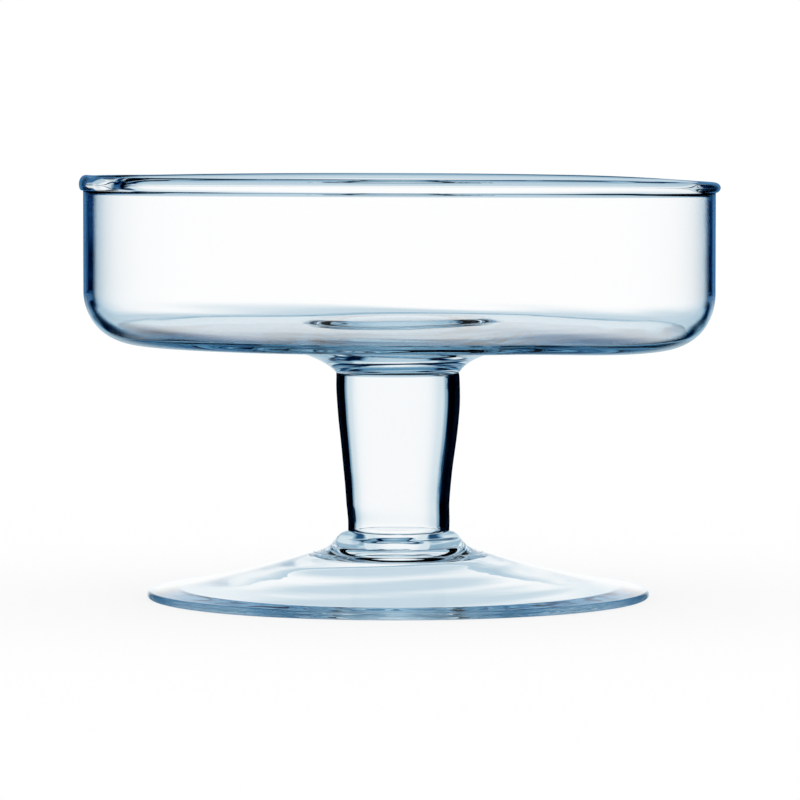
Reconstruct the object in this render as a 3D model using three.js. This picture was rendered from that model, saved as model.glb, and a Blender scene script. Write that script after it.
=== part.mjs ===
// A stemmed glass: a wide shallow bowl with a rolled lip, on a hollow stem and a conical foot.
// It is blown and worked hot, so each gather is a solid of its own that is fused to the next one.
// Millimetres, +Z up. The origin is on the table, under the middle of the foot.

import * as THREE from 'three';

// Foot: a cone with a round edge, hollow underneath, that stands on a flat ring
const FOOT_DIAMETER = 94.3;
const FOOT_EDGE_THICKNESS = 1.5;
const FOOT_HEIGHT = 8.6;
const FOOT_SAG = 1.3; // how far the top dips under a straight cone
const FOOT_RING_WIDTH = 7.6;
const FOOT_HOLLOW_HEIGHT = 5;
const PONTIL_DIAMETER = 16; // the flat scar in the middle of the hollow

// Collar between the foot and the stem
const COLLAR_HEIGHT = 4;
const COLLAR_DIAMETER = 32;

// Stem: a drawn tube with a soft shoulder
const STEM_LENGTH = 29.5;
const STEM_TOP_DIAMETER = 23;
const STEM_SHOULDER_SWELL = 0.6; // how far the shoulder stands out from the top, before it fades
const STEM_BOTTOM_DIAMETER = 19;
const STEM_TOP_WALL = 1.7;
const STEM_BOTTOM_WALL = 1.45;

// Flared join that carries the bowl
const JOIN_HEIGHT = 4.2;
const JOIN_DIAMETER = 39;

// Bowl: upright wall, round corner, and a floor that swells a little in the middle
const BOWL_DIAMETER = 118.2;
const BOWL_HEIGHT = 29.75; // from the join to the lip
const BOWL_WALL = 1.3;
const BOWL_BELLY_RISE = 1.2; // from the join up to the start of the corner
const BOWL_CORNER_RADIUS = 10.5;
const BOWL_INNER_CORNER_RADIUS = 8;
const BOWL_FLOOR = 2.8;
const BOWL_FLOOR_SWELL = 0.9;
const BOWL_SWELL_DIAMETER = 60;

// Rolled lip: a round bead on the wall, with the lap where its two ends were pressed together
const BEAD_THICKNESS = 2.8;
const BEAD_OVERHANG = 0.15; // outwards from the middle of the wall
const LAP_SWELL = 0.22; // share of the bead's thickness that its end stands out
const LAP_NECK = 0.16; // share that it is drawn in, beside the end
const LAP_WIDTH = 7; // degrees along the rim
const LAP_NECK_PLACE = 15; // degrees from the end of the bead, towards the front

const SEAM = 0.02; // between two gathers
const TURN_STEPS = 60; // facets round the glass
const CURVE_STEPS = 7; // facets along each bend of an outline
const STEM_STEPS = 9; // facets along the stem
const BEAD_SIDES = 12;

// Levels at which the gathers meet
const footTop = FOOT_HEIGHT;
const collarBottom = footTop + SEAM;
const collarTop = collarBottom + COLLAR_HEIGHT;
const stemBottom = collarTop + SEAM;
const stemTop = stemBottom + STEM_LENGTH;
const joinBottom = stemTop + SEAM;
const joinTop = joinBottom + JOIN_HEIGHT;
const bowlBottom = joinTop + SEAM;
const lip = bowlBottom + BOWL_HEIGHT;

const clearGlass = { color: 0xdfeaf2, roughness: 0.03, metalness: 0, transparent: true, opacity: 0.35 };

function piece(name, geometry, level = 0) {
  const mesh = new THREE.Mesh(geometry, new THREE.MeshStandardMaterial(clearGlass));
  mesh.name = name;
  mesh.position.z = level;
  return mesh;
}

function at(radius, height) {
  return new THREE.Vector2(radius, height);
}

function bend(from, control, to) {
  return new THREE.QuadraticBezierCurve(from, control, to).getPoints(CURVE_STEPS);
}

function arc(centre, radius, fromDegrees, toDegrees) {
  const from = THREE.MathUtils.degToRad(fromDegrees);
  const to = THREE.MathUtils.degToRad(toDegrees);
  const curve = new THREE.EllipseCurve(centre.x, centre.y, radius, radius, from, to, to < from);
  return curve.getPoints(CURVE_STEPS);
}

// Turns an outline round +Z. The outline runs up the outside and comes back down the inside.
function turn(outline) {
  return new THREE.LatheGeometry(outline, TURN_STEPS).rotateX(Math.PI / 2);
}

function footOutline() {
  const edgeRadius = FOOT_EDGE_THICKNESS / 2;
  const edgeCentre = at(FOOT_DIAMETER / 2 - edgeRadius, edgeRadius);
  const ringInside = edgeCentre.x - FOOT_RING_WIDTH;
  const seat = at(COLLAR_DIAMETER / 2, footTop);
  const edgeTop = at(edgeCentre.x, FOOT_EDGE_THICKNESS);
  const middle = seat.clone().lerp(edgeTop, 0.5);
  return [
    at(0, FOOT_HOLLOW_HEIGHT),
    at(PONTIL_DIAMETER / 2, FOOT_HOLLOW_HEIGHT),
    at(ringInside, 0),
    ...arc(edgeCentre, edgeRadius, -90, 90),
    ...bend(edgeTop, at(middle.x, middle.y - FOOT_SAG), seat).slice(1),
    at(0, footTop),
  ];
}

function collarOutline() {
  const bottom = at(COLLAR_DIAMETER / 2, collarBottom);
  const top = at(STEM_BOTTOM_DIAMETER / 2, collarTop);
  const hollow = at(top.x + (bottom.x - top.x) * 0.2, collarBottom + COLLAR_HEIGHT * 0.4);
  return [at(0, collarBottom), ...bend(bottom, hollow, top), at(0, collarTop)];
}

// The tube's outside is one curve from the shoulder to the foot, and the bore follows it
function stemOutline() {
  const topRadius = STEM_TOP_DIAMETER / 2;
  const bottomRadius = STEM_BOTTOM_DIAMETER / 2;
  const outside = new THREE.CubicBezierCurve(
    at(bottomRadius, 0),
    at(bottomRadius + 0.1, STEM_LENGTH * 0.42),
    at(topRadius + STEM_SHOULDER_SWELL, STEM_LENGTH * 0.7),
    at(topRadius, STEM_LENGTH),
  ).getPoints(STEM_STEPS);
  const bore = outside.map((point) => {
    const wall = THREE.MathUtils.lerp(STEM_BOTTOM_WALL, STEM_TOP_WALL, point.y / STEM_LENGTH);
    return at(point.x - wall, point.y);
  });
  return [...outside, ...bore.reverse(), outside[0].clone()];
}

function joinOutline() {
  const bottom = at(STEM_TOP_DIAMETER / 2, joinBottom);
  const top = at(JOIN_DIAMETER / 2, joinTop);
  const hollow = at(bottom.x + (top.x - bottom.x) * 0.18, joinBottom + JOIN_HEIGHT * 0.72);
  return [at(0, joinBottom), ...bend(bottom, hollow, top), at(0, joinTop)];
}

function bowlOutline() {
  const outerRadius = BOWL_DIAMETER / 2;
  const innerRadius = outerRadius - BOWL_WALL;
  const seat = at(JOIN_DIAMETER / 2, bowlBottom);
  const belly = bowlBottom + BOWL_BELLY_RISE;
  const corner = at(outerRadius - BOWL_CORNER_RADIUS, belly + BOWL_CORNER_RADIUS);
  const floor = belly + BOWL_FLOOR;
  const innerCorner = at(innerRadius - BOWL_INNER_CORNER_RADIUS, floor + BOWL_INNER_CORNER_RADIUS);
  const bellyBend = at((seat.x + corner.x) / 2, belly);
  const swellEdge = at(BOWL_SWELL_DIAMETER / 2, floor);
  const swellTop = at(0, floor + BOWL_FLOOR_SWELL);
  return [
    at(0, bowlBottom),
    ...bend(seat, bellyBend, at(corner.x, belly)),
    ...arc(corner, BOWL_CORNER_RADIUS, -90, 0).slice(1),
    at(outerRadius, lip),
    at(innerRadius, lip),
    ...arc(innerCorner, BOWL_INNER_CORNER_RADIUS, 0, -90),
    ...bend(swellEdge, at(BOWL_SWELL_DIAMETER / 4, swellTop.y), swellTop),
  ];
}

// How thick the bead is, along the rim, against its usual thickness
function lapShare(degreesFromEnd) {
  const bump = (place) => Math.exp(-(((degreesFromEnd - place) / LAP_WIDTH) ** 2));
  return 1 + LAP_SWELL * bump(0) - LAP_NECK * bump(LAP_NECK_PLACE) - LAP_NECK * bump(-LAP_NECK_PLACE);
}

// A ring of round glass, flat below where it sits on the lip. Its lap is on the left, at -X.
function beadGeometry(seatDrop) {
  const ringRadius = BOWL_DIAMETER / 2 - BOWL_WALL / 2 + BEAD_OVERHANG;
  const geometry = new THREE.TorusGeometry(ringRadius, BEAD_THICKNESS / 2, BEAD_SIDES, TURN_STEPS);
  const points = geometry.getAttribute('position');
  for (let i = 0; i < points.count; i += 1) {
    const x = points.getX(i);
    const y = points.getY(i);
    const share = lapShare(THREE.MathUtils.radToDeg(Math.atan2(-y, -x)));
    const outwards = (Math.hypot(x, y) - ringRadius) * share;
    const shift = (ringRadius + outwards) / Math.hypot(x, y);
    points.setXYZ(i, x * shift, y * shift, Math.max(points.getZ(i) * share, -seatDrop));
  }
  return geometry;
}

function beadPiece() {
  const beadRadius = BEAD_THICKNESS / 2;
  const seatHalfWidth = BOWL_WALL / 2 + BEAD_OVERHANG;
  const seatDrop = Math.sqrt(Math.max(beadRadius ** 2 - seatHalfWidth ** 2, 0));
  return piece('rim_bead', beadGeometry(seatDrop), lip + SEAM + seatDrop);
}

const glass = new THREE.Group();
glass.add(
  piece('foot', turn(footOutline())),
  piece('foot_collar', turn(collarOutline())),
  piece('stem', turn(stemOutline()), stemBottom),
  piece('bowl_join', turn(joinOutline())),
  piece('bowl', turn(bowlOutline())),
  beadPiece(),
);

export default glass;
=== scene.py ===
import math

import bpy
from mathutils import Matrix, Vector, noise


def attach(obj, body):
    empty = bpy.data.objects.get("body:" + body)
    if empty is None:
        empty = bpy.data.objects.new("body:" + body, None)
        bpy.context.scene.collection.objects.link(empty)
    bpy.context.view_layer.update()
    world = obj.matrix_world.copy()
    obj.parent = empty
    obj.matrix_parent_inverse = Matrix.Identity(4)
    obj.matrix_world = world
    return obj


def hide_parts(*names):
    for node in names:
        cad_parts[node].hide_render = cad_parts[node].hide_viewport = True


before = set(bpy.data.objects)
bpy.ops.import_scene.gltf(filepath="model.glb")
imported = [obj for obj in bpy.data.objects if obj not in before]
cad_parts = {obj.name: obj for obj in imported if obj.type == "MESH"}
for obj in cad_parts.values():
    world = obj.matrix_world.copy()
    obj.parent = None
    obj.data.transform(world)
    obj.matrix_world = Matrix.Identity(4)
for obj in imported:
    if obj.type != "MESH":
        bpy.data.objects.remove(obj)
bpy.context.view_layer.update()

MM = 0.001

# Camera, in metres: a little above the rim, looking slightly down
EYE = Vector((0.0001, -0.968, 0.0888))
AIM = Vector((0.0001, 0.0, 0.0370))
HALF_VIEW = 0.075  # half of the width seen at the middle of the glass

# Gathers from the foot up, in millimetres like all that follows, and the gap that stands for a fused seam
FOOT_TOP = 8.6
COLLAR_TOP = 12.62
STEM_LENGTH = 29.5
JOIN_HEIGHT = 4.2
BOWL_HEIGHT = 29.75
SEAM = 0.01

# Radii where the gathers meet
COLLAR_FOOT = 16.0
STEM_FOOT = 9.5
STEM_HEAD = 11.5
JOIN_HEAD = 19.5
STEM_BORE = 0.856  # the bore's share of the stem's width

# Foot
FOOT_RADIUS = 46.4  # to the middle of its round edge
FOOT_EDGE = 0.75  # size of the round edge
FOOT_BEND = (31.2, 3.75)  # what its top bends towards
FOOT_WALL = 2.3
FOOT_RING = 41.8  # inner radius of the ring that the glass stands on
SCAR_LEVEL = 6.7  # the scar in the middle of the hollow
SCAR_RADIUS = 6
SCAR_BEND = 12  # radius towards which the hollow bends from there

# Collar
COLLAR_TOE = (13.9, 9.1)  # what it bends towards below and above its straight slope
COLLAR_SHOULDER = (10.7, 12.45)
SLOPE_START = (12.8, 9.85)
SLOPE_END = (11.6, 11.2)
DISH = 0.4  # how far its top is dished inside the stem
DISH_BEND = 5

# What the sides of the stem and the join bend towards, from their own bottom
STEM_BENDS = ((9.6, 12.4), (12.1, 20.65))
JOIN_BEND = (13.3, 2.6)

# Bowl
BOWL_OUTSIDE = 59.1
BOWL_WALL = 1.3
BELLY_RISE = 1.2
BELLY_BEND = 34
CORNER = 9.8  # radius of the outer corner
CORNER_END = -58  # degrees round the inner corner where the floor begins
BOWL_FLOOR = 2.8
FLOOR_BENDS = ((52.3, -1.0), (49, 0))  # what the floor bends towards at the corner, from its own level
BUTTON = (15.2, 19.6)  # radii of the step up to the round of glass that the stem's end left in the floor
BUTTON_BENDS = (17.4, 18)  # radii that the step bends towards at its top and at its foot
BUTTON_RISE = 1.15
SWELL = 0.35
SWELL_BEND = 8

# Rolled lip
BEAD = 1.3
BEAD_PLACE = 58.7
BEAD_DROP = 1.15  # from the middle of the bead down to the wall's edge


# Node trees

class Value:
    """A number, colour or vector in a node tree. Arithmetic on it adds Math nodes."""

    def __init__(self, tree, socket):
        self.tree = tree
        self.socket = socket

    def other(self, name):
        """Another output of the same node."""
        return Value(self.tree, self.socket.node.outputs[name])

    def math(self, operation, *others):
        """A Math node on this value and the others."""
        return self.tree.node("ShaderNodeMath", {"operation": operation}, dict(enumerate((self, *others))))

    def __add__(self, other):
        return self.math("ADD", other)

    def __sub__(self, other):
        return self.math("SUBTRACT", other)

    def __rsub__(self, other):
        return (self * -1) + other

    def __mul__(self, other):
        return self.math("MULTIPLY", other)

    def __truediv__(self, other):
        return self.math("DIVIDE", other)

    def __pow__(self, power):
        return self.math("POWER", power)

    def step(self, low, high):
        """0 below low, 1 above high, and smooth between them."""
        ends = {"Value": self, "From Min": low, "From Max": high}
        return self.tree.node("ShaderNodeMapRange", {"interpolation_type": "SMOOTHSTEP"}, ends)


class Tree:
    """A node tree that is filled one node at a time."""

    def __init__(self, owner):
        self.inner = owner
        self.inner.nodes.clear()

    def node(self, kind, settings=None, inputs=None, output=0):
        """Adds a node, with its settings first and then its inputs, and gives one of its outputs."""
        made = self.inner.nodes.new(kind)
        for name, setting in (settings or {}).items():
            setattr(made, name, setting)
        for name, given in (inputs or {}).items():
            if isinstance(given, Value):
                self.inner.links.new(given.socket, made.inputs[name])
            else:
                made.inputs[name].default_value = given
        if not made.outputs:
            return None
        return Value(self, made.outputs[output])

    def attribute(self, name):
        """A number that the mesh carries under this name."""
        number = {"data_type": "FLOAT"}
        return self.node("GeometryNodeInputNamedAttribute", number, {"Name": name}, "Attribute")

    def mix(self, share, first, second):
        """The first shader, which gives way to the second as the share goes from 0 to 1."""
        return self.node("ShaderNodeMixShader", None, {0: share, 1: first, 2: second})

    def seen_in_glass(self):
        """1 for what the glass mirrors or lets through, and 0 for what the camera sees beside it."""
        mirrored = self.node("ShaderNodeLightPath", None, None, "Is Glossy Ray")
        return mirrored.math("MAXIMUM", mirrored.other("Is Transmission Ray"))


# Outlines: a radius and a height for each point

def bend(points, steps):
    """A Bezier curve from the first point to the last."""
    order = len(points) - 1
    curve = []
    for step in range(steps + 1):
        t = step / steps
        weights = [math.comb(order, k) * t**k * (1 - t) ** (order - k) for k in range(order + 1)]
        curve.append(tuple(sum(w * p[axis] for w, p in zip(weights, points)) for axis in (0, 1)))
    return curve


def arc(radius, height, size, start, end, steps):
    angles = [math.radians(start + (end - start) * step / steps) for step in range(steps + 1)]
    return [(radius + size * math.cos(a), height + size * math.sin(a)) for a in angles]


def line(start, end, steps):
    return bend([start, end], steps)


def raised(points, rise):
    return [(radius, height + rise) for radius, height in points]


class Outline:
    """A gather's section. A stretch is open or fused to a neighbour, and a point is outside or inside."""

    def __init__(self):
        self.points = []
        self.fused = []
        self.inside = []

    def add(self, points, fused=0.0, inside=0.0):
        start = 1 if self.points else 0
        if self.inside:
            self.inside[-1] = max(self.inside[-1], inside)
        self.fused += [fused] * (len(points) - 1)
        self.points += points[start:]
        self.inside += [inside] * (len(points) - start)
        return self


foot_side = bend([(FOOT_RADIUS, 2 * FOOT_EDGE), FOOT_BEND, (COLLAR_FOOT, FOOT_TOP)], 48)
foot_inside = [(radius, height - FOOT_WALL) for radius, height in foot_side if height > FOOT_WALL]
scar_edge = (SCAR_RADIUS, SCAR_LEVEL)
foot_outline = (
    Outline()
    .add(line((0, SCAR_LEVEL), scar_edge, 12))
    .add(bend([scar_edge, (SCAR_BEND, SCAR_LEVEL), foot_inside[-1]], 16))
    .add(foot_inside[::-1])
    .add(line(foot_inside[0], (FOOT_RING, 0), 4))
    .add(line((FOOT_RING, 0), (FOOT_RADIUS, 0), 8))
    .add(arc(FOOT_RADIUS, FOOT_EDGE, FOOT_EDGE, -90, 90, 18))
    .add(foot_side)
    .add([(COLLAR_FOOT, FOOT_TOP), (0, FOOT_TOP)], fused=1.0)
)

collar_bottom = FOOT_TOP + SEAM
bore_foot = STEM_FOOT * STEM_BORE
dish_level = COLLAR_TOP - DISH
collar_outline = (
    Outline()
    .add([(0, collar_bottom), (COLLAR_FOOT, collar_bottom)], fused=1.0)
    .add(bend([(COLLAR_FOOT, collar_bottom), COLLAR_TOE, SLOPE_START], 16))
    .add(line(SLOPE_START, SLOPE_END, 6))
    .add(bend([SLOPE_END, COLLAR_SHOULDER, (STEM_FOOT, COLLAR_TOP)], 16))
    .add([(STEM_FOOT, COLLAR_TOP), (bore_foot, COLLAR_TOP)], fused=1.0)
    .add(bend([(bore_foot, COLLAR_TOP), (DISH_BEND, dish_level), (0, dish_level)], 16), inside=1.0)
)

stem_bottom = COLLAR_TOP + SEAM
stem_top = stem_bottom + STEM_LENGTH
stem_side = bend([(STEM_FOOT, 0), *STEM_BENDS, (STEM_HEAD, STEM_LENGTH)], 72)
stem_bore = [(radius * STEM_BORE, height) for radius, height in stem_side]
bore_head = STEM_HEAD * STEM_BORE
stem_outline = (
    Outline()
    .add(raised(stem_side, stem_bottom))
    .add([(STEM_HEAD, stem_top), (bore_head, stem_top)], fused=1.0)
    .add(raised(stem_bore[::-1], stem_bottom), inside=1.0)
    .add([(bore_foot, stem_bottom), (STEM_FOOT, stem_bottom)], fused=1.0)
)

join_bottom = stem_top + SEAM
join_top = join_bottom + JOIN_HEIGHT
join_outline = (
    Outline()
    .add(line((0, join_bottom), (bore_head, join_bottom), 12), inside=1.0)
    .add([(bore_head, join_bottom), (STEM_HEAD, join_bottom)], fused=1.0)
    .add(bend([(STEM_HEAD, join_bottom), *raised([JOIN_BEND], join_bottom), (JOIN_HEAD, join_top)], 40))
    .add([(JOIN_HEAD, join_top), (0, join_top)], fused=1.0)
)

bowl_bottom = join_top + SEAM
belly = bowl_bottom + BELLY_RISE
bowl_floor = belly + BOWL_FLOOR
button_top = bowl_floor + BUTTON_RISE
swell_top = button_top + SWELL
lip = bowl_bottom + BOWL_HEIGHT
bowl_inside = BOWL_OUTSIDE - BOWL_WALL
corner_place = BOWL_OUTSIDE - CORNER
corner_level = belly + CORNER
inner_corner = arc(corner_place, corner_level, CORNER - BOWL_WALL, 0, CORNER_END, 28)
button_head, button_foot = BUTTON
high_bend, low_bend = BUTTON_BENDS
floor_curve = bend([inner_corner[-1], *raised(FLOOR_BENDS, bowl_floor), (button_foot, bowl_floor)], 40)
button_curve = bend(
    [(button_foot, bowl_floor), (low_bend, bowl_floor), (high_bend, button_top), (button_head, button_top)],
    20,
)
swell_curve = bend([(button_head, button_top), (SWELL_BEND, swell_top), (0, swell_top)], 20)
bowl_outline = (
    Outline()
    .add([(0, bowl_bottom), (JOIN_HEAD, bowl_bottom)], fused=1.0)
    .add(bend([(JOIN_HEAD, bowl_bottom), (BELLY_BEND, belly), (corner_place, belly)], 36))
    .add(arc(corner_place, corner_level, CORNER, -90, 0, 36))
    .add(line((BOWL_OUTSIDE, corner_level), (BOWL_OUTSIDE, lip), 24))
    .add([(BOWL_OUTSIDE, lip), (bowl_inside, lip)], fused=1.0)
    .add(line((bowl_inside, lip), (bowl_inside, corner_level), 24), inside=1.0)
    .add(inner_corner, inside=1.0)
    .add(floor_curve, inside=1.0)
    .add(button_curve, inside=1.0)
    .add(swell_curve, inside=1.0)
)

seat = lip + SEAM
bead_level = seat + BEAD_DROP
bead_outside = math.asin(BEAD_DROP / BEAD)
bead_inside = math.acos((BEAD_PLACE - bowl_inside) / BEAD)
bead_start = -math.degrees(bead_outside)
bead_end = 180 + math.degrees(bead_inside)
bead_outline = (
    Outline()
    .add([(bowl_inside, seat), (BOWL_OUTSIDE, seat)], fused=1.0)
    .add(line((BOWL_OUTSIDE, seat), (BEAD_PLACE + BEAD * math.cos(bead_outside), seat), 2))
    .add(arc(BEAD_PLACE, bead_level, BEAD, bead_start, bead_end, 60))
    .add(line((bowl_inside, bead_level - BEAD * math.sin(bead_inside)), (bowl_inside, seat), 2), inside=1.0)
)
bead_outline.inside[0] = 1.0


# Worked by hand: each gather leans, wavers, and is thicker on one side

def between(value, table):
    """A smooth value between the pairs of a table."""
    for (low, start), (high, end) in zip(table, table[1:]):
        if value <= high:
            share = min(max((value - low) / (high - low), 0), 1)
            return start + (end - start) * share * share * (3 - 2 * share)
    return table[-1][1]


# By height: how far the glass stands aside, how much further its inside does, and how much it tilts
LEAN = [
    (0, -0.23), (10, -0.2), (14, -0.12), (18, -0.3), (23, -0.28), (31, -0.16), (35, -0.16), (41, -0.28),
    (42.2, -0.34), (45.4, -0.8), (46.36, 0),
]
INNER_LEAN = [(42.2, -0.2), (46.3, 0.2)]
TILT = [(42.2, 0), (46.3, 0.0037)]

# How far the surface wavers, by height, and what share of that is left, by distance from a seam
WAVER = [
    (0, 0.02), (4.5, 0.025), (7, 0.08), (12.6, 0.09), (13, 0.012), (42, 0.012), (42.3, 0.05), (46.4, 0.05),
    (47, 0.03), (50, 0.05), (51, 0.05), (54, 0.02), (58, 0.008),
]
SEAMS = (FOOT_TOP, COLLAR_TOP, join_bottom, join_top, lip)
SEAM_CALM = [(0.1, 0), (1.5, 1)]
SCAR_WAVER = [(9, 0.12), (15, 0)]  # how much more the foot wavers near its scar, by radius
RIDGE = 5.0  # from one ridge to the next
ROUND = 30.0  # and along a ridge

# The lip, by degrees from the lap: its height and its width above its seat, against its usual size
LAP_HEIGHT = [
    (-40, 1), (-12, 1.15), (0, 1.3), (9, 1.27), (15.5, 1.0), (22, 1.1), (31, 1.12), (46, 1.08), (65, 1),
]
LAP_WIDTH = [(-40, 1), (0, 0.92), (12, 0.85), (20, 0.95), (27, 1.38), (39, 1.05), (60, 1)]
LAP_ROOT = 0.4  # height above the seat at which the lap is full
THIN_END = [(125, 1), (168, 0.78)]  # its height on the far side from the lap, by degrees to either hand

# How much higher the lip is at the front and the back, and how that sets in by height
RIM_WARP = 0.40
WARP_HEIGHT = [(52, 0), (76, 1)]

# How far the bowl sags on its right: by place across and by height
SAG = [(JOIN_HEAD, 0), (46, 0.75)]
SAG_HEIGHT = [(46, 1), (50, 0.9), (60, 0)]


def rolled(place):
    """The lap in the lip, where its two ends meet, and the thinner far side."""
    x, y, z = place
    turn = math.degrees(math.atan2(-y, -x))
    radius = math.hypot(x, y)
    free = min(max((z - seat) / LAP_ROOT, 0), 1)
    wide = 1 + (between(turn, LAP_WIDTH) - 1) * free
    tall = 1 + (between(turn, LAP_HEIGHT) - 1) * free
    grown = (BEAD_PLACE + (radius - BEAD_PLACE) * wide) / radius
    level = bead_level + (z - bead_level) * tall
    return x * grown, y * grown, seat + (level - seat) * between(abs(turn), THIN_END)


def settled(place, normal, inside):
    """Where a point of the even outline comes to lie in the worked glass."""
    x, y, z = place
    radius = math.hypot(x, y)
    waver = between(z, WAVER) + (between(radius, SCAR_WAVER) if z < FOOT_TOP - SEAM else 0)
    waver *= between(min(abs(z - level) for level in SEAMS), SEAM_CALM)
    waver *= noise.noise(Vector((radius / RIDGE + x / ROUND, y / ROUND, z / RIDGE)))
    aside = between(z, LEAN) + inside * between(z, INNER_LEAN)
    rise = RIM_WARP * (y / BOWL_OUTSIDE) ** 2 * between(z, WARP_HEIGHT) - between(z, TILT) * x
    if z > join_top:
        rise -= between(max(x, JOIN_HEAD), SAG) * between(z, SAG_HEIGHT)
    return x + waver * normal[0] + aside, y + waver * normal[1], z + waver * normal[2] + rise


def work(mesh):
    """Gives a turned mesh its hand-made shape."""
    inside = mesh.attributes["inside"].data
    places = [tuple(corner.co / MM) for corner in mesh.vertices]
    normals = [tuple(corner.normal) for corner in mesh.vertices]
    for corner, place, normal in zip(mesh.vertices, places, normals):
        if place[2] > seat - SEAM / 2:
            place = rolled(place)
        corner.co = Vector(settled(place, normal, inside[corner.index].value)) * MM
    mesh.update()


# Turning an outline round the axis

TURNS = 288
MERGE = 0.001  # points closer than this are one


def turning_tree():
    """Geometry Nodes that turn an outline round +Z and close its seam and its poles."""
    group = bpy.data.node_groups.new("turned_gather", "GeometryNodeTree")
    face = group.interface
    face.new_socket("Outline", in_out="INPUT", socket_type="NodeSocketGeometry")
    face.new_socket("Turns", in_out="INPUT", socket_type="NodeSocketInt")
    face.new_socket("Glass", in_out="INPUT", socket_type="NodeSocketMaterial")
    face.new_socket("Gather", in_out="OUTPUT", socket_type="NodeSocketGeometry")
    tree = Tree(group)
    outline = tree.node("NodeGroupInput", output="Outline")
    turns = outline.other("Turns")
    rows = tree.node("GeometryNodeAttributeDomainSize", None, {"Geometry": outline}, "Point Count")
    grid = tree.node("GeometryNodeMeshGrid", None, {"Vertices X": turns + 1, "Vertices Y": rows}, "Mesh")
    index = tree.node("GeometryNodeInputIndex")
    column = (index / rows).math("FLOOR")
    row = index - column * rows
    place = tree.node("GeometryNodeInputPosition")
    section = tree.node(
        "GeometryNodeSampleIndex", {"data_type": "FLOAT_VECTOR"},
        {"Geometry": outline, "Value": place, "Index": row}, "Value",
    )
    radius = tree.node("ShaderNodeSeparateXYZ", None, {0: section}, "X")
    angle = column * math.tau / turns
    turned_place = tree.node(
        "ShaderNodeCombineXYZ", None,
        {"X": radius * angle.math("COSINE"), "Y": radius * angle.math("SINE"), "Z": radius.other("Z")},
    )
    shaped = tree.node("GeometryNodeSetPosition", None, {"Geometry": grid, "Position": turned_place})
    stretches = rows - 1
    stretch = index - (index / stretches).math("FLOOR") * stretches
    mark = tree.attribute("fused")
    fused = tree.node(
        "GeometryNodeSampleIndex", {"data_type": "FLOAT", "domain": "EDGE"},
        {"Geometry": outline, "Value": mark, "Index": stretch}, "Value",
    )
    marked = tree.node(
        "GeometryNodeStoreNamedAttribute", {"data_type": "FLOAT", "domain": "FACE"},
        {"Geometry": shaped, "Name": "fused", "Value": fused},
    )
    side = tree.attribute("inside")
    inside = tree.node(
        "GeometryNodeSampleIndex", {"data_type": "FLOAT"},
        {"Geometry": outline, "Value": side, "Index": row}, "Value",
    )
    sided = tree.node(
        "GeometryNodeStoreNamedAttribute", {"data_type": "FLOAT"},
        {"Geometry": marked, "Name": "inside", "Value": inside},
    )
    closed = tree.node("GeometryNodeMergeByDistance", None, {"Geometry": sided, "Distance": MERGE * MM})
    smooth = tree.node("GeometryNodeSetShadeSmooth", None, {"Geometry": closed})
    real = tree.node("GeometryNodeRealizeInstances", None, {"Geometry": smooth})
    done = tree.node("GeometryNodeSetMaterial", None, {"Geometry": real, "Material": outline.other("Glass")})
    tree.node("NodeGroupOutput", None, {"Gather": done})
    return group


def outline_mesh(name, outline):
    mesh = bpy.data.meshes.new(name)
    edges = [(i, i + 1) for i in range(len(outline.points) - 1)]
    mesh.from_pydata([(radius * MM, 0, height * MM) for radius, height in outline.points], edges, [])
    marks = mesh.attributes.new("fused", "FLOAT", "EDGE")
    marks.data.foreach_set("value", outline.fused)
    sides = mesh.attributes.new("inside", "FLOAT", "POINT")
    sides.data.foreach_set("value", outline.inside)
    return mesh


def turned(name, outline, tree, glass):
    """A closed piece of glass with the given outline."""
    drawing = bpy.data.objects.new(name + "_drawing", outline_mesh(name, outline))
    bpy.context.scene.collection.objects.link(drawing)
    lathe = drawing.modifiers.new("turning", "NODES")
    lathe.node_group = tree
    sockets = {item.name: item.identifier for item in tree.interface.items_tree if item.in_out == "INPUT"}
    lathe[sockets["Turns"]] = TURNS
    lathe[sockets["Glass"]] = glass
    shaped = drawing.evaluated_get(bpy.context.evaluated_depsgraph_get())
    mesh = bpy.data.meshes.new_from_object(shaped)
    bpy.data.objects.remove(drawing)
    mesh.name = name
    mesh.materials.clear()
    mesh.materials.append(glass)
    if volume(mesh) < 0:
        mesh.flip_normals()
    work(mesh)
    piece = bpy.data.objects.new(name, mesh)
    bpy.context.scene.collection.objects.link(piece)
    return piece


def volume(mesh):
    """What a closed mesh holds, below 0 if its faces point inwards."""
    mesh.calc_loop_triangles()
    places = [corner.co for corner in mesh.vertices]
    triangles = [[places[index] for index in face.vertices] for face in mesh.loop_triangles]
    return sum(a.dot(b.cross(c)) for a, b, c in triangles) / 6


# Clear glass, with painted shade and painted reflections

GLASS_IOR = 1.5
RIPPLE_SCALE = (40.0, 40.0, 700.0)  # per metre
RIPPLE_DETAIL = 2.0
RIPPLE_UNIT = 0.01 * MM
SHEEN_GLANCE = (0.25, 0.65)  # share mirrored by plain glass where the sheen starts, and where it is full
# painted shade: the dark steel blue that the glass lets through at a flat glance, for its dark edges
PAINTED_GLANCE_SHADE = (0.0, 0.355, 0.548)
DEPTH_TINT = (0.23, 0.50, 0.65)


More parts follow.
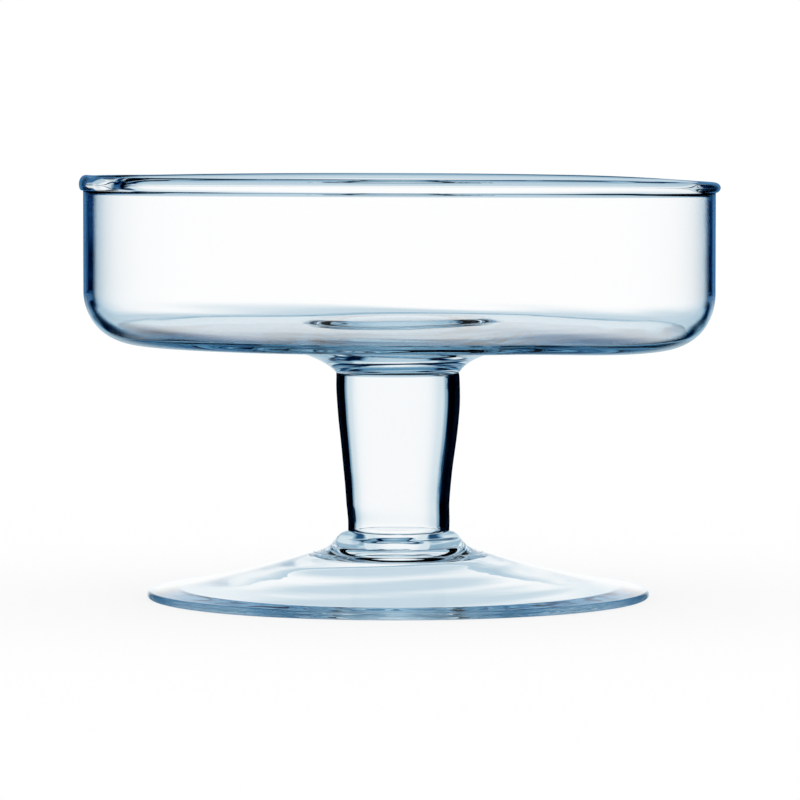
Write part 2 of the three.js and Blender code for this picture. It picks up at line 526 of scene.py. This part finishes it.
def clear_glass(name, gloss_fall, painted_shade_fall, painted_reflection, ripple, density, painted_low_reflection=None, change=None, sheen=1.0):
    """Clear glass. The higher a fall is, the flatter a glance has to be before it mirrors, or goes blue.

    The blue is painted shade on what the glass lets through. The ripples are the marks of turning, in
    hundredths of a millimetre. What it mirrors takes a painted reflection colour, and can take another
    painted colour further down, with the change between two heights in millimetres. The sheen is how much
    of a flat glance it mirrors at least.
    """
    material = bpy.data.materials.new(name)
    material.use_nodes = True
    tree = Tree(material.node_tree)
    glance = tree.node("ShaderNodeFresnel", None, {"IOR": GLASS_IOR})
    place = tree.node("ShaderNodeTexCoord", None, None, "Object")
    stretched = tree.node("ShaderNodeMapping", None, {"Vector": place, "Scale": RIPPLE_SCALE})
    marks = {"Vector": stretched, "Scale": 1.0, "Detail": RIPPLE_DETAIL}
    turned_marks = tree.node("ShaderNodeTexNoise", None, marks, "Fac")
    rippled = tree.node("ShaderNodeBump", None, {"Height": turned_marks, "Distance": ripple * RIPPLE_UNIT})
    polished = {"Roughness": 0.0, "Normal": rippled}
    sheer = {**polished, "IOR": GLASS_IOR}
    clear = tree.node("ShaderNodeBsdfRefraction", None, {"Color": (1, 1, 1, 1), **sheer})
    # Painted shade: at a flat glance the refraction turns dark steel blue
    blue = tree.node("ShaderNodeBsdfRefraction", None, {"Color": (*PAINTED_GLANCE_SHADE, 1), **sheer})
    bent = tree.mix(glance**painted_shade_fall, clear, blue)
    # Painted reflection: what the glass mirrors takes the painted colour, and further down another one
    mirrored = tree.node("ShaderNodeBsdfAnisotropic", None, {"Color": (*painted_reflection, 1), **polished})
    if painted_low_reflection:
        height = tree.node("ShaderNodeSeparateXYZ", None, {0: place}, "Z") / MM
        painted_low_mirror = tree.node("ShaderNodeBsdfAnisotropic", None, {"Color": (*painted_low_reflection, 1), **polished})
        mirrored = tree.mix(height.step(*change), painted_low_mirror, mirrored)
    gloss = (glance**gloss_fall).math("MAXIMUM", glance.step(*SHEEN_GLANCE) * sheen)
    open_glass = tree.mix(gloss, bent, mirrored)
    seam = tree.node("ShaderNodeBsdfTransparent")
    fused = tree.node("ShaderNodeAttribute", {"attribute_name": "fused"}, None, "Fac")
    surface = tree.mix(fused, open_glass, seam)
    depth = tree.node("ShaderNodeVolumeAbsorption", None, {"Color": (*DEPTH_TINT, 1), "Density": density})
    tree.node("ShaderNodeOutputMaterial", None, {"Surface": surface, "Volume": depth})
    return material


# Studio, as the glass shows it. Crosswise is the cosine of four times the turn: 1 ahead, behind and to the
# sides, and -1 halfway between these. Height and depth are how far a direction points up or down, out of 1.
# A pair says where a part starts and where it is full. A light or a loss is an amount of light.

PANEL_EDGE = (0.375, 0.66)  # pale panels ahead, behind and to the sides: crosswise
PANEL_MIDDLE = (0.66, 0.98)
EDGE_LIGHT = 0.83
MIDDLE_LIGHT = 0.17  # added in the middle
PANEL_SPREAD = 0.3  # how much wider the panels are above the table: crosswise

STRIP_INNER = (0.05, 0.45)  # dark strips beside the panels: crosswise
STRIP_OUTER = (-0.75, -0.3)
STRIP_FOOT = (0.30, 0.45)  # depth

TABLE_EDGE = (0.034, 0.040)  # the table starts here: depth
TABLE_END = (0.12, 0.17)  # and ends here: depth
TABLE_REACH = (-0.6, -0.1)  # at its far edge it stops short of the halfway lines: crosswise
TABLE_WIDENS = (0.08, 0.15)  # and from here on it doesn't: depth
GLOW_END = (0.078, 0.10)  # where the light of its far edge ends in the strips: depth
GLOW_LIGHT = 0.6

DIAGONAL = (0.0, 0.6)  # pale low down, halfway between the panels: crosswise
FRONT = (0.3, 0.6)  # pale towards the viewer

HORIZON = 0.035  # the wall above the table starts this far below level
WALL_FOOT = (0.0, 0.05)  # height from there
WALL_FOOT_LIGHT = 0.5
WALL_MIDDLE = (0.04, 0.10)  # height
WALL_MIDDLE_LIGHT = 0.8
WALL_TOP = (0.2, 0.5)  # height
WALL_TOP_LOSS = 0.5
STRIP_LOSS = 0.1  # how much of the wall's light a strip takes away
STRIP_RISE = (0.09, 0.2)  # and how much more higher up
STRIP_RISE_LOSS = 0.8

DIM_START = (0.06, 0.13)  # everything grows dimmer with depth
DIM_START_LOSS = 0.3
DIM_END = (0.30, 0.80)
DIM_END_LOSS = 0.35
DIM_DIAGONAL = (0.50, 0.65)  # but from here only, halfway between the panels
STRAIGHT_DOWN = (0.95, 0.985)  # pale again: depth
OVERHEAD = (0.70, 0.82)  # dark above: height

DARKEST = 0.004
RED_FALL = 1.55  # as the light falls, red falls faster than green, and blue slower
BLUE_FALL = 0.7

MATT = 0.2  # share of the floor's finish that takes the shadow
FLOOR_REACH = 20.0  # in metres
FLOOR_LEVEL = -0.02


def duotone(tree, light):
    """White, through steel blue, to navy as light goes from 1 to 0."""
    return tree.node(
        "ShaderNodeCombineColor", None, {"Red": light**RED_FALL, "Green": light, "Blue": light**BLUE_FALL}
    )


def studio_world():
    """White beside the glass. The glass itself shows pale panels and dark strips over a pale table."""
    world = bpy.data.worlds.new("studio")
    world.use_nodes = True
    tree = Tree(world.node_tree)
    direction = tree.node("ShaderNodeTexCoord", None, None, "Generated")
    x = tree.node("ShaderNodeSeparateXYZ", None, {0: direction}, "X")
    y, height = x.other("Y"), x.other("Z")
    depth = height * -1
    crosswise = (x.math("ARCTAN2", y) * 4).math("COSINE")
    white = crosswise.step(*PANEL_MIDDLE) * MIDDLE_LIGHT + EDGE_LIGHT
    under = depth.step(*TABLE_EDGE)
    panels = (crosswise + (1 - under) * PANEL_SPREAD).step(*PANEL_EDGE) * white
    strip = (1 - crosswise.step(*STRIP_INNER)) * crosswise.step(*STRIP_OUTER)
    strip = strip * (1 - depth.step(*STRIP_FOOT))
    glow = under * (1 - depth.step(*GLOW_END)) * GLOW_LIGHT
    table = under * (1 - strip * (1 - glow)) * white
    table = table * crosswise.step(*TABLE_REACH).math("MAXIMUM", depth.step(*TABLE_WIDENS))
    diagonal = (crosswise * -1).step(*DIAGONAL)
    front = (y * -1).step(*FRONT)
    low = depth.step(*TABLE_END)
    wall = (height + HORIZON).step(*WALL_FOOT) * WALL_FOOT_LIGHT
    wall = wall.math("MAXIMUM", height.step(*WALL_MIDDLE) * WALL_MIDDLE_LIGHT)
    wall = wall - height.step(*WALL_TOP) * WALL_TOP_LOSS
    wall = wall * (1 - strip * (height.step(*STRIP_RISE) * STRIP_RISE_LOSS + STRIP_LOSS))
    light = panels.math("MAXIMUM", front * (1 - low)).math("MAXIMUM", diagonal * low)
    light = light.math("MAXIMUM", table * (1 - low)).math("MAXIMUM", wall)
    dimming = depth.step(*DIM_START) * DIM_START_LOSS + depth.step(*DIM_END) * DIM_END_LOSS
    light = light * (1 - dimming * (1 - diagonal * (1 - depth.step(*DIM_DIAGONAL))))
    light = light.math("MAXIMUM", depth.step(*STRAIGHT_DOWN)) * (1 - height.step(*OVERHEAD))
    colour = duotone(tree, light * (1 - DARKEST) + DARKEST)
    plain = tree.node("ShaderNodeBackground", None, {"Color": (1, 1, 1, 1), "Strength": 1.0})
    studio = tree.node("ShaderNodeBackground", None, {"Color": colour, "Strength": 1.0})
    tree.node("ShaderNodeOutputWorld", None, {"Surface": tree.mix(tree.seen_in_glass(), plain, studio)})
    return world


def floor_finish():
    """Pale and matt. To the glass it is open, so that the glass shows the studio and not the floor."""
    material = bpy.data.materials.new("pale_floor")
    material.use_nodes = True
    tree = Tree(material.node_tree)
    matt = tree.node("ShaderNodeBsdfDiffuse", None, {"Color": (1, 1, 1, 1)})
    bright = tree.node("ShaderNodeEmission", None, {"Color": (1, 1, 1, 1), "Strength": 1.0})
    open_floor = tree.node("ShaderNodeBsdfTransparent")
    both = tree.mix(tree.seen_in_glass(), tree.mix(MATT, bright, matt), open_floor)
    tree.node("ShaderNodeOutputMaterial", None, {"Surface": both})
    return material


def camera():
    lens = bpy.data.cameras.new("camera")
    stand = bpy.data.objects.new("camera", lens)
    bpy.context.scene.collection.objects.link(stand)
    bpy.context.scene.camera = stand
    sight = AIM - EYE
    stand.location = EYE
    stand.rotation_euler = sight.to_track_quat("-Z", "Y").to_euler()
    lens.lens_unit = "FOV"
    lens.angle = 2 * math.atan(HALF_VIEW / sight.length)


def floor():
    mesh = bpy.data.meshes.new("floor")
    ways = [(-1, -1), (1, -1), (1, 1), (-1, 1)]
    corners = [(x * FLOOR_REACH, y * FLOOR_REACH, FLOOR_LEVEL * MM) for x, y in ways]
    mesh.from_pydata(corners, [], [(0, 1, 2, 3)])
    mesh.materials.append(floor_finish())
    sheet = bpy.data.objects.new("floor", mesh)
    bpy.context.scene.collection.objects.link(sheet)


camera()
bpy.context.scene.world = studio_world()
floor()

# Painted reflections: near black on the stem, dark steel blue on the bead and on the bowl above 58 mm, pale
# on the bowl below 52.5 mm, near white on the foot, collar and join, and a little darker and bluer at the
# foot's bottom edge
blown = clear_glass(
    "blown_glass", gloss_fall=2.2, painted_shade_fall=2.1, painted_reflection=(0.10, 0.26, 0.48), ripple=0.3, density=3.0,
    painted_low_reflection=(0.88, 0.93, 0.955), change=(52.5, 58), sheen=0.75,
)
rolled_glass = clear_glass(
    "rolled_glass", gloss_fall=2.2, painted_shade_fall=2.1, painted_reflection=(0.08, 0.22, 0.41), ripple=0.3, density=14.0
)
drawn = clear_glass(
    "drawn_glass", gloss_fall=1.9, painted_shade_fall=1.5, painted_reflection=(0.001, 0.005, 0.014), ripple=0.5, density=14.0
)
pressed = clear_glass(
    "pressed_glass", gloss_fall=3.0, painted_shade_fall=3.0, painted_reflection=(0.98, 0.99, 0.995), ripple=1.2, density=5.0,
    painted_low_reflection=(0.86, 0.93, 0.965), change=(1.2, 1.8),
)
lathe_tree = turning_tree()
pieces = {
    "foot": (foot_outline, pressed),
    "foot_collar": (collar_outline, pressed),
    "stem": (stem_outline, drawn),
    "bowl_join": (join_outline, pressed),
    "bowl": (bowl_outline, blown),
    "rim_bead": (bead_outline, rolled_glass),
}
for node_name, (node_outline, node_glass) in pieces.items():
    piece = turned("clear_" + node_name, node_outline, lathe_tree, node_glass)
    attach(piece, "root")
    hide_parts(node_name)

# Light bounces many times inside the foot's edge and the corner of the bowl
BOUNCES = 64
CLEAR_BOUNCES = 48

scene = bpy.context.scene
scene.view_settings.view_transform = "Standard"
scene.cycles.max_bounces = BOUNCES
scene.cycles.transmission_bounces = BOUNCES
scene.cycles.glossy_bounces = BOUNCES
scene.cycles.transparent_max_bounces = CLEAR_BOUNCES
